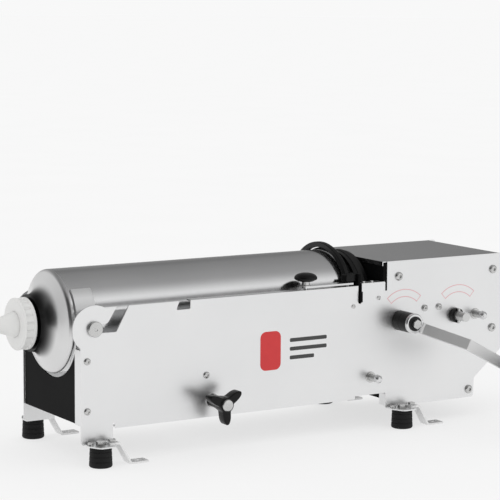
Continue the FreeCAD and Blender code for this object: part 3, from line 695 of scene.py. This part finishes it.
def buttonHead(mesh, place, axis, head, settings):
    radius, height, first = head["radius"], head["height"], settings["first"]
    start, steps = plateFace - settings["sunk"], settings["steps"]
    dome = []
    for i in range(steps + 1):
        turn = first + (math.pi / 2 - first) * i / steps
        dome.append((start + height * math.sin(turn), radius * math.cos(turn - first) ** settings["crown"]))
    rim = head["socket"] / 2 / math.cos(math.pi / 6)
    depth, taper = settings["socketWall"]
    top = start + height
    profile = [(plateFace, 0.0), (plateFace, radius - settings["edge"])] + [p for p in dome if p[1] > rim]
    profile += [(top, rim), (top - height * depth, rim * taper), (top - height * settings["socketTip"], 0)]
    lathe(mesh, profile, place, axis, settings["sides"])


def makeButtonScrews(node, head, settings):
    mesh = bmesh.new()
    for pair in solidBoxes(node):
        place = (middle(pair).x, 0, middle(pair).z)
        buttonHead(mesh, place, outward(pair), head, settings)
        along = (min(abs(corner.y) for corner in pair), plateFace - settings["sunk"])
        shank = head["radius"] * settings["shank"]
        prism(mesh, settings["shankSides"], shank, along, place, outward(pair))
    return piece(node.replace("_s", "S"), mesh, "base", "steel_fastener", [node], smooth=30)


foot = {
    "radius": 0.01775,
    "topRadius": 0.0165,
    "sole": (  # along, radius: the hollow under the foot
        (0, 0), (0.0012, 0.006), (0.0004, 0.0085), (0, 0.0095)),
    "soleEdge": ((0, 0.0026), (0.0006, 0.0012), (0.0022, 0.0001), (0.0032, 0)),  # along, less than the radius
    "topEdge": ((0.0012, 0), (0.0003, 0.0006), (0, 0.0016)),
    "ribs": 3,
    "firstRib": 0.0085,
    "ribPitch": 0.0075,
    "groove": ((0, 0), (0.0006, 0.0006), (0.0014, 0.0006), (0.0020, 0)),  # along, depth
    "steps": 56,
}


def makeFeet(settings):
    mesh = bmesh.new()
    for pair in solidBoxes("rubber_feet"):
        centre = middle(pair)
        height = pair[1].z - pair[0].z
        outer, top = settings["radius"], settings["topRadius"]
        profile = [*settings["sole"]] + [(along, outer - less) for along, less in settings["soleEdge"]]
        for i in range(settings["ribs"]):
            at = settings["firstRib"] + settings["ribPitch"] * i
            wide = outer + (top - outer) * at / height
            profile += [(at + along, wide - depth) for along, depth in settings["groove"]]
        profile += [(height - down, top - less) for down, less in settings["topEdge"]] + [(height, 0)]
        lathe(mesh, profile, (centre.x, centre.y, pair[0].z), "z", settings["steps"])
    return piece("rubberFeet", mesh, "base", "rubber", ["rubber_feet"], smooth=35)


stud = {
    "start": 0.090,
    "shank": 0.004,
    "washer": 0.009,
    "washerEnd": 0.1022,
    "bar": 0.006,
    "end": 0.1190,
    "chamfer": 0.0004,
    "nut": 0.0075,  # corner radius of the lock nut and the cap nut
    "capEnd": 0.1245,
    "dome": {"foot": (0.1243, 0.0062), "start": 0.1248, "height": 0.0037, "radius": 0.0060, "steps": 8},
    "steps": 40,
}


def makeStuds(settings):
    shank, washer, bar, edge = (settings[k] for k in ("shank", "washer", "bar", "chamfer"))
    start, washerEnd, end = settings["start"], settings["washerEnd"], settings["end"]
    profile = [
        (start, 0), (start, shank), (plateFace, shank), (plateFace, washer), (washerEnd - edge, washer),
        (washerEnd, washer - edge), (washerEnd, bar), (end - edge, bar), (end, bar - edge), (end, 0)]
    mesh = bmesh.new()
    for low, high in solidBoxes("side_studs"):
        place = (middle((low, high)).x, 0, middle((low, high)).z)
        if low.y > -plateFace:  # the lock nut inside
            prism(mesh, 6, settings["nut"], (-high.y, -low.y), place, "-y", hexTurn)
        else:
            lathe(mesh, profile, place, "-y", settings["steps"])
    return piece("sideStuds", mesh, "base", "steel_fastener", ["side_studs"], smooth=30)


def makeCapNuts(settings):
    dome = settings["dome"]
    profile = [dome["foot"]]
    for i in range(dome["steps"] + 1):
        turn = math.pi / 2 * i / dome["steps"]
        profile.append((dome["start"] + dome["height"] * math.sin(turn), dome["radius"] * math.cos(turn)))
    mesh = bmesh.new()
    for pair in solidBoxes("stud_cap_nuts"):
        place = (middle(pair).x, 0, middle(pair).z)
        prism(mesh, 6, settings["nut"], (settings["end"], settings["capEnd"]), place, "-y", hexTurn)
        lathe(mesh, profile, place, "-y", settings["steps"])
    return piece(
        "studCapNuts", mesh, "base", "stainless_polished", ["stud_cap_nuts"], bevel=settings["chamfer"],
        smooth=35)


for nodeName, headSizes in screwHeads.items():
    makeButtonScrews(nodeName, headSizes, buttonShape)
makeFeet(foot)
makeStuds(stud)
makeCapNuts(stud)
print("fasteners and feet made")


# hand knobs

lobedKnob = {
    "lobes": 3,
    "tip": 0.032,  # from the middle to the end of a lobe
    "waist": 0.012,  # to the hollow between two lobes
    "slimness": 3.4,
    "first": 34,  # degrees
    "back": 0.128,
    "front": 0.146,
    "round": 0.0022,
    "sides": 144,
    "backEnd": 0.0085,
    "hub": (  # distance from the machine's middle, radius
        (0.1045, 0.0092), (0.118, 0.0100), (0.128, 0.0118), (0.1465, 0.0118), (0.147, 0.0112), (0.147, 0)),
    "steps": 48,
}


def makeLobedKnob(settings):
    start = -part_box("clamp_knob")[1].y
    place = middle(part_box("clamp_screw"))
    tip, waist, back = settings["tip"], settings["waist"], settings["back"]
    mesh = bmesh.new()
    circle = bmesh.ops.create_circle(mesh, segments=settings["sides"], radius=1.0, cap_ends=True)["verts"]
    for vertex in circle:
        turn = math.atan2(vertex.co.y, vertex.co.x)
        near = (1 + math.cos((turn - math.radians(settings["first"])) * settings["lobes"])) / 2
        radius = waist + (tip - waist) * near ** settings["slimness"]
        vertex.co = (radius * math.cos(turn), 0, radius * math.sin(turn))
    bmesh.ops.translate(mesh, verts=circle, vec=(place.x, -back, place.z))
    raised = bmesh.ops.extrude_face_region(mesh, geom=list(mesh.faces))
    bmesh.ops.translate(mesh, verts=movedCorners(raised), vec=(0, back - settings["front"], 0))
    rims = [e for e in mesh.edges if abs(e.verts[0].co.y - e.verts[1].co.y) < 1e-6]
    bmesh.ops.bevel(
        mesh, geom=rims, offset=settings["round"], offset_type="OFFSET", affect="EDGES", segments=4,
        profile=0.5, material=-1, clamp_overlap=True)
    hub = [(start, 0), (start, settings["backEnd"]), *settings["hub"]]
    lathe(mesh, hub, (place.x, 0, place.z), "-y", settings["steps"])
    return piece("lobedKnob", mesh, "clamp_screw", "black_plastic", ["clamp_knob"], smooth=42)


clampScrew = {
    "radius": 0.005,
    "chamfer": 0.0007,
    "middle": 0.103,
    "end": 0.1465,
    "head": (  # distance from the machine's middle, radius
        (0.147, 0.0092), (0.1488, 0.0092), (0.1500, 0.0084), (0.1505, 0.0070), (0.1505, 0)),
    "steps": 48,
}


def makeClampScrew(settings):
    low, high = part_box("clamp_screw")
    place = middle((low, high))
    start, radius, edge = -high.y, settings["radius"], settings["chamfer"]
    profile = [
        (start, 0), (start, radius - edge), (start + edge, radius), (settings["middle"], radius),
        (settings["end"], radius), *settings["head"]]
    mesh = bmesh.new()
    lathe(mesh, profile, (place.x, 0, place.z), "-y", settings["steps"])
    return piece("clampScrew", mesh, "clamp_screw", "steel_fastener", ["clamp_screw"], smooth=32)


mushroomKnob = {
    "stem": ((0, 0.0041), (0, 0.0118), (0.0006, 0.0130), (0.0030, 0.0176)),  # along, radius
    "rim": (0.0040, 0.0052),
    "crown": 0.85,
    "crownSteps": 9,
    "steps": 72,
}


def makeMushroomKnob(settings):
    low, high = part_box("hold_down_knob")
    place = middle((low, high))
    outer, tall, rimEnd = (high.x - low.x) / 2, high.z - low.z, settings["rim"][-1]
    profile = [*settings["stem"]] + [(along, outer) for along in settings["rim"]]
    for i in range(settings["crownSteps"]):
        turn = math.pi / 2 * i / settings["crownSteps"]
        radius = outer * math.cos(turn) ** settings["crown"]
        profile.append((rimEnd + (tall - rimEnd) * math.sin(turn), radius))
    mesh = bmesh.new()
    lathe(mesh, profile + [(tall, 0)], (place.x, place.y, low.z), "z", settings["steps"])
    return piece("mushroomKnob", mesh, "hold_down_screw", "black_plastic", ["hold_down_knob"], smooth=40)


holdDownScrew = {
    "radius": 0.003,
    "chamfer": 0.0007,
    "flange": (0.2448, 0.2510),  # heights over the floor
    "flangeRadius": 0.0063,
    "flangeChamfer": 0.0004,
    "neckRadius": 0.004,
    "top": 0.2575,
    "steps": 48,
}


def makeHoldDownScrew(settings):
    low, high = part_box("hold_down_screw")
    place = middle((low, high))
    first, last = (height - low.z for height in settings["flange"])
    radius, neck, top = settings["radius"], settings["neckRadius"], settings["top"] - low.z
    wide, edge, flangeEdge = settings["flangeRadius"], settings["chamfer"], settings["flangeChamfer"]
    profile = [
        (0, 0), (0, radius - edge), (edge, radius), (first, radius), (first, wide - flangeEdge),
        (first + flangeEdge, wide), (last - flangeEdge, wide), (last, wide - flangeEdge), (last, neck),
        (top, neck), (top, 0)]
    mesh = bmesh.new()
    lathe(mesh, profile, (place.x, place.y, low.z), "z", settings["steps"])
    return piece("holdDownScrew", mesh, "hold_down_screw", "steel_fastener", ["hold_down_screw"], smooth=32)


makeLobedKnob(lobedKnob)
makeClampScrew(clampScrew)
makeMushroomKnob(mushroomKnob)
makeHoldDownScrew(holdDownScrew)
print("knobs made")


# crank

crank = {
    "drop": 28.0,  # degrees under the horizontal
    "length": 0.152,
    "hubRadius": 0.0164,
    "bore": 0.008,
    "boreEnd": 0.114,
    "seat": 0.0075,
    "ring": 0.005,
    "groove": ((0.118, 0), (0.1186, 0.0005), (0.1192, 0)),  # distance from the middle, depth
    "hubChamfer": 0.0006,
    "ringChamfer": 0.0012,
    "hubSteps": 72,
    "start": 0.0155,  # the arm's inner end, out from the shaft
    "bendStart": 0.022,
    "run": 0.037,
    "lean": 0.077,
    "face": -0.140,
    "half": 0.003,  # half the flat bar's thickness
    "width": 0.009,  # half its width
    "eye": 0.012,
    "eyeBore": 0.005,
    "eyeSteps": 48,
    "round": 0.0007,
}


def crankPlace():
    low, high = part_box("slow_shaft")
    return middle((low, high))


def makeCrankHub(settings):
    low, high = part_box("crank_hub")
    centre = crankPlace()
    outer = settings["hubRadius"]
    ringStart = -low.y - settings["ring"]
    bore, boreEnd, seat, edge = (settings[k] for k in ("bore", "boreEnd", "seat", "hubChamfer"))
    profile = [(-high.y, bore), (-high.y, outer - edge), (-high.y + edge, outer)]
    profile += [(along, outer - depth) for along, depth in settings["groove"]]
    profile += [(ringStart, outer), (ringStart, seat), (boreEnd, seat), (boreEnd, bore)]
    mesh = bmesh.new()
    lathe(mesh, profile, (centre.x, 0, centre.z), "-y", settings["hubSteps"], closed=True)
    piece("crankHub", mesh, "slow_shaft", "stainless_polished", ["crank_hub"], smooth=32, finish=hubSteel)
    end, edge = -low.y, settings["ringChamfer"]
    profile = [(ringStart, seat), (ringStart, outer), (end - edge, outer), (end, outer - edge), (end, seat)]
    mesh = bmesh.new()
    lathe(mesh, profile, (centre.x, 0, centre.z), "-y", settings["hubSteps"], closed=True)
    return piece("crankHubRing", mesh, "slow_shaft", "stainless_polished", smooth=32)


crankBolt = {
    "flats": 0.014,
    "headStart": 0.1448,
    "headEnd": 0.1505,
    "round": 0.0005,
    "shank": 0.004,
    "shankStart": 0.118,
    "shankSides": 24,
    "washer": 0.012,
    "washerStart": 0.143,
    "washerChamfer": 0.0003,
    "washerSteps": 48,
}


def makeCrankBolt(settings):
    centre = crankPlace()
    place = (centre.x, 0, centre.z)
    start, end, shank = settings["washerStart"], settings["headStart"], settings["shank"]
    corner = settings["flats"] / math.sqrt(3)
    mesh = bmesh.new()
    prism(mesh, 6, corner, (end, settings["headEnd"]), place, "-y", hexTurn)
    prism(mesh, settings["shankSides"], shank, (settings["shankStart"], end), place, "-y")
    piece(
        "crankBolt", mesh, "slow_shaft", "steel_fastener", ["crank_bolt"], bevel=settings["round"], smooth=35)
    wide, edge = settings["washer"], settings["washerChamfer"]
    profile = [(start, shank), (start, wide), (end - edge, wide), (end, wide - edge), (end, shank)]
    mesh = bmesh.new()
    lathe(mesh, profile, place, "-y", settings["washerSteps"], closed=True)
    # the washer is coloured near-black as painted shade for the recess round the bolt head
    return piece("crankWasher", mesh, "slow_shaft", "steel_fastener", smooth=32, finish=hubSteel)


def makeCrankArm(settings):
    centre = crankPlace()
    half, face = settings["half"], settings["face"]
    out = face - settings["lean"]
    mitre = half * math.tan(math.atan2(settings["lean"], settings["run"]) / 2)
    bend, end = settings["bendStart"], settings["bendStart"] + settings["run"]
    line = [
        (settings["start"], face, 0), (bend, face, mitre), (end, out, mitre), (settings["length"], out, 0)]
    sides = [(x + shift, y + half) for x, y, shift in line]
    sides += [(x - shift, y - half) for x, y, shift in line[::-1]]
    mesh = bmesh.new()
    outline = mesh.faces.new([mesh.verts.new((x, y, -settings["width"])) for x, y in sides])
    raised = bmesh.ops.extrude_face_region(mesh, geom=[outline])
    bmesh.ops.translate(mesh, verts=movedCorners(raised), vec=(0, 0, 2 * settings["width"]))
    near, far, bore, rim = -out - half, half - out, settings["eyeBore"], settings["eye"]
    eye = [(near, bore), (near, rim), (far, rim), (far, bore)]
    lathe(mesh, eye, (settings["length"], 0, 0), "-y", settings["eyeSteps"], closed=True)
    turn = Matrix.Rotation(math.radians(settings["drop"]), 4, "Y")
    bmesh.ops.transform(mesh, matrix=Matrix.Translation((centre.x, 0, centre.z)) @ turn, verts=mesh.verts)
    return piece(
        "crankArm", mesh, "slow_shaft", "stainless_plate", ["crank_arm"], bevel=settings["round"], smooth=35,
        finish=armSteel)


grip = {
    "bore": 0.00504,
    "inner": ((0, 0.0112), (0.0008, 0.0120), (0.004, 0.0124)),  # in from the inner end, radius
    "outer": ((0.004, 0.0122), (0.0012, 0.0100), (0, 0.0078)),  # in from the outer end, radius
    "radius": 0.0124,
    "swell": 0.0035,
    "swellShare": (0.02, 0.92),  # where the swelling's half wave starts, and its part of the length
    "swellSteps": 12,
    "steps": 56,
}


def makeCrankGrip(arm, settings):
    low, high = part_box("crank_grip")
    centre = crankPlace()
    drop = math.radians(arm["drop"])
    place = (centre.x + arm["length"] * math.cos(drop), 0, centre.z - arm["length"] * math.sin(drop))
    start, end = -high.y, -low.y
    first, part = settings["swellShare"]
    profile = [(start, settings["bore"])] + [(start + along, radius) for along, radius in settings["inner"]]
    for i in range(1, settings["swellSteps"]):
        share = i / settings["swellSteps"]
        swell = settings["swell"] * math.sin(math.pi * (share * part + first))
        profile.append((start + (end - start) * share, settings["radius"] + swell))
    profile += [(end - along, radius) for along, radius in settings["outer"]] + [(end, settings["bore"])]
    mesh = bmesh.new()
    lathe(mesh, profile, place, "-y", settings["steps"], closed=True)
    return piece("crankGrip", mesh, "crank_grip", "black_plastic", ["crank_grip"], smooth=38)


makeCrankHub(crank)
makeCrankBolt(crankBolt)
makeCrankArm(crank)
makeCrankGrip(crank, grip)
print("crank made")


# plain label and turning marks on the near plate

def printedPaint(name, low, high, roughness):
    finish = Finish(name)
    finish.set(
        Base_Color=finish.blendColour(finish.noise(60.0), low, high),
        Roughness=roughness + finish.noise(400.0) * 0.1)
    return finish.material


redPaint = printedPaint("labelRed", tone(0.52, 0.02, 0.025), tone(0.62, 0.03, 0.03), 0.35)
palePaint = printedPaint("markPink", tone(0.70, 0.36, 0.38), tone(0.78, 0.46, 0.48), 0.35)
darkPaint = printedPaint("labelDark", tone(0.03), tone(0.05), 0.38)
label = {
    "thick": 0.00012,
    "patch": {"centre": (-0.030, 0.146), "size": (0.038, 0.062), "corner": 0.010},
    "bars": {"start": 0.006, "height": 0.0062, "corner": 0.0020},
    "barRows": ((0.160, 0.070), (0.146, 0.070), (0.132, 0.046)),  # height of a bar's middle, its length
}


def flatMark(mesh, centre, size, corner):
    before = set(mesh.verts)
    bmesh.ops.create_grid(mesh, x_segments=1, y_segments=1, size=0.5)
    fresh = [v for v in mesh.verts if v not in before]
    stand = Matrix.Translation((centre[0], -plateFace, centre[1])) @ Matrix.Rotation(math.pi / 2, 4, "X")
    bmesh.ops.transform(mesh, matrix=stand @ Matrix.Diagonal((*size, 1, 1)), verts=fresh)
    bmesh.ops.bevel(
        mesh, geom=fresh, offset=corner, affect="VERTICES", segments=5, profile=0.5, material=-1,
        offset_type="OFFSET")


def raiseMark(mesh, thick):
    raised = bmesh.ops.extrude_face_region(mesh, geom=list(mesh.faces))
    bmesh.ops.translate(mesh, verts=movedCorners(raised), vec=(0, -thick, 0))


def makeLabel(settings):
    patch, bars = settings["patch"], settings["bars"]
    mesh = bmesh.new()
    flatMark(mesh, patch["centre"], patch["size"], patch["corner"])
    raiseMark(mesh, settings["thick"])
    piece("labelPatch", mesh, "base", "stainless_plate", finish=redPaint)
    mesh = bmesh.new()
    for height, width in settings["barRows"]:
        flatMark(mesh, (bars["start"] + width / 2, height), (width, bars["height"]), bars["corner"])
    raiseMark(mesh, settings["thick"])
    piece("labelBars", mesh, "base", "stainless_plate", finish=darkPaint)


arcs = {
    "inner": 0.038,
    "outer": 0.051,
    "line": 0.0012,
    "from": 48,  # degrees, from the gearbox's end round over the shaft
    "to": 132,
    "endWidth": 1.2,
    "steps": 32,
    "thick": 0.00012,
    "shift": {"slow_shaft": 0.008, "fast_shaft": 0.005},
}


def markArc(mesh, centre, radii, first, last, steps):
    made = [mesh.verts.new((radius, -plateFace, 0)) for radius in radii]
    edge = mesh.edges.new(made)
    before = set(mesh.verts) - set(made)
    bmesh.ops.rotate(mesh, verts=made, cent=(0, 0, 0), matrix=Matrix.Rotation(-math.radians(first), 3, "Y"))
    bmesh.ops.spin(
        mesh, geom=made + [edge], cent=(0, 0, 0), axis=(0, -1, 0), angle=math.radians(last - first),
        steps=steps)
    fresh = [v for v in mesh.verts if v not in before]
    bmesh.ops.translate(mesh, verts=fresh, vec=centre)


def makeArcs(settings):
    mesh = bmesh.new()
    inner, outer, line, steps = (settings[k] for k in ("inner", "outer", "line", "steps"))
    first, last, endWidth = settings["from"], settings["to"], settings["endWidth"]
    for node, shift in settings["shift"].items():
        place = middle(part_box(node))
        centre = (place.x + shift, 0, place.z)
        markArc(mesh, centre, (inner, inner + line), first, last, steps)
        markArc(mesh, centre, (outer - line, outer), first, last, steps)
        markArc(mesh, centre, (inner + line, outer - line), first, first + endWidth, 1)
        markArc(mesh, centre, (inner + line, outer - line), last - endWidth, last, 1)
    raiseMark(mesh, settings["thick"])
    return piece("turningMarks", mesh, "base", "stainless_plate", finish=palePaint)


makeLabel(label)
makeArcs(arcs)
print("marks made")


# studio

floor = {"size": 400.0, "shades": (0.23, 0.25), "grain": 3.0, "glow": 0.68}
flag = {  # a black card that only the reflections see
    "heading": 238,  # degrees from +Y towards +X
    "away": 1.5,
    "wide": 1.7,
    "tall": 2.0,
    "lift": 0.002,
    "shades": (0.008, 0.014),
}
sky = {
    "open": 1.07,  # what lights the object
    "backdrop": 0.94,  # what the camera sees
    "mainWay": (0.525, -0.779, 0.342),  # towards the main softbox
    "ways": (  # what is mirrored: -1 away from the softbox to 1 towards it, and how bright
        (-1.0, 1.0), (-0.75, 0.70), (-0.45, 0.30), (-0.18, 0.20), (0.04, 0.27), (0.32, 0.31),
        (0.66, 0.38), (0.746, 0.45), (0.816, 0.60), (0.88, 0.80), (0.92, 0.97), (1.0, 1.05)),
    "gap": (0.40, 0.47, 0.53, 0.62),  # the dark strip across the softbox, by height
    "gapEdge": (0.72, 0.84),
    "gapShade": 0.2,
}


def stageObject(name, mesh, material):
    data = bpy.data.meshes.new(name)
    mesh.to_mesh(data)
    mesh.free()
    data.materials.append(material)
    thing = bpy.data.objects.new(name, data)
    scene.collection.objects.link(thing)
    return thing


def makeFloor(settings):
    paper = Finish("paperFloor")
    low, high = (tone(shade) for shade in settings["shades"])
    paper.set(
        Base_Color=paper.blendColour(paper.noise(settings["grain"]), low, high), Roughness=0.9,
        Specular_IOR_Level=0.0, Emission_Color=tone(1.0), Emission_Strength=settings["glow"])
    mesh = bmesh.new()
    bmesh.ops.create_grid(mesh, x_segments=2, y_segments=2, size=settings["size"])
    return stageObject("studioFloor", mesh, paper.material)


def makeFlag(settings):
    cloth = Finish("blackCloth")
    low, high = (tone(shade) for shade in settings["shades"])
    cloth.set(Base_Color=cloth.blendColour(cloth.noise(4.0), low, high), Roughness=0.95)
    heading = math.radians(settings["heading"])
    away = Vector((math.sin(heading), math.cos(heading), 0)) * settings["away"]
    away.z = settings["tall"] / 2 + settings["lift"]
    stand = Matrix.Rotation(-heading, 4, "Z") @ Matrix.Rotation(math.pi / 2, 4, "X")
    size = Matrix.Diagonal((settings["wide"], settings["tall"], 1, 1))
    mesh = bmesh.new()
    bmesh.ops.create_grid(mesh, x_segments=1, y_segments=1, size=0.5)
    bmesh.ops.transform(mesh, matrix=Matrix.Translation(away) @ stand @ size, verts=mesh.verts)
    card = stageObject("blackFlag", mesh, cloth.material)
    card.visible_camera = card.visible_diffuse = card.visible_shadow = False
    return card


def makeSky(settings):
    scene.world = bpy.data.worlds.new("studioSky")
    around = Finish("studioSky", scene.world)

    def along(way):
        return around.node(
            "VectorMath", {"operation": "DOT_PRODUCT"}, {0: around.place, 1: way}, output="Value")

    toward = along(settings["mainWay"])
    stops = [((way + 1) / 2, shade) for way, shade in settings["ways"]]
    boxes = around.node("ValToRGB", {"stops": stops}, {"Fac": toward * 0.5 + 0.5})
    height = along((0, 0, 1))
    low, lowEnd, high, highEnd = settings["gap"]
    strip = around.between(height, low, lowEnd) * (1 - around.between(height, high, highEnd))
    inside = strip * around.between(toward, *settings["gapEdge"])
    mirrored = boxes * (1 - inside * (1 - settings["gapShade"]))
    seen = around.node("LightPath", output="Is Camera Ray")
    glossy = around.node("LightPath", output="Is Glossy Ray")
    plain = around.blendColour(seen, tone(settings["open"]), tone(settings["backdrop"]))
    around.set(Color=around.blendColour(glossy, plain, mirrored), Strength=1.0)


makeFloor(floor)
makeFlag(flag)
makeSky(sky)
scene.view_settings.view_transform = "Standard"
print("studio set")
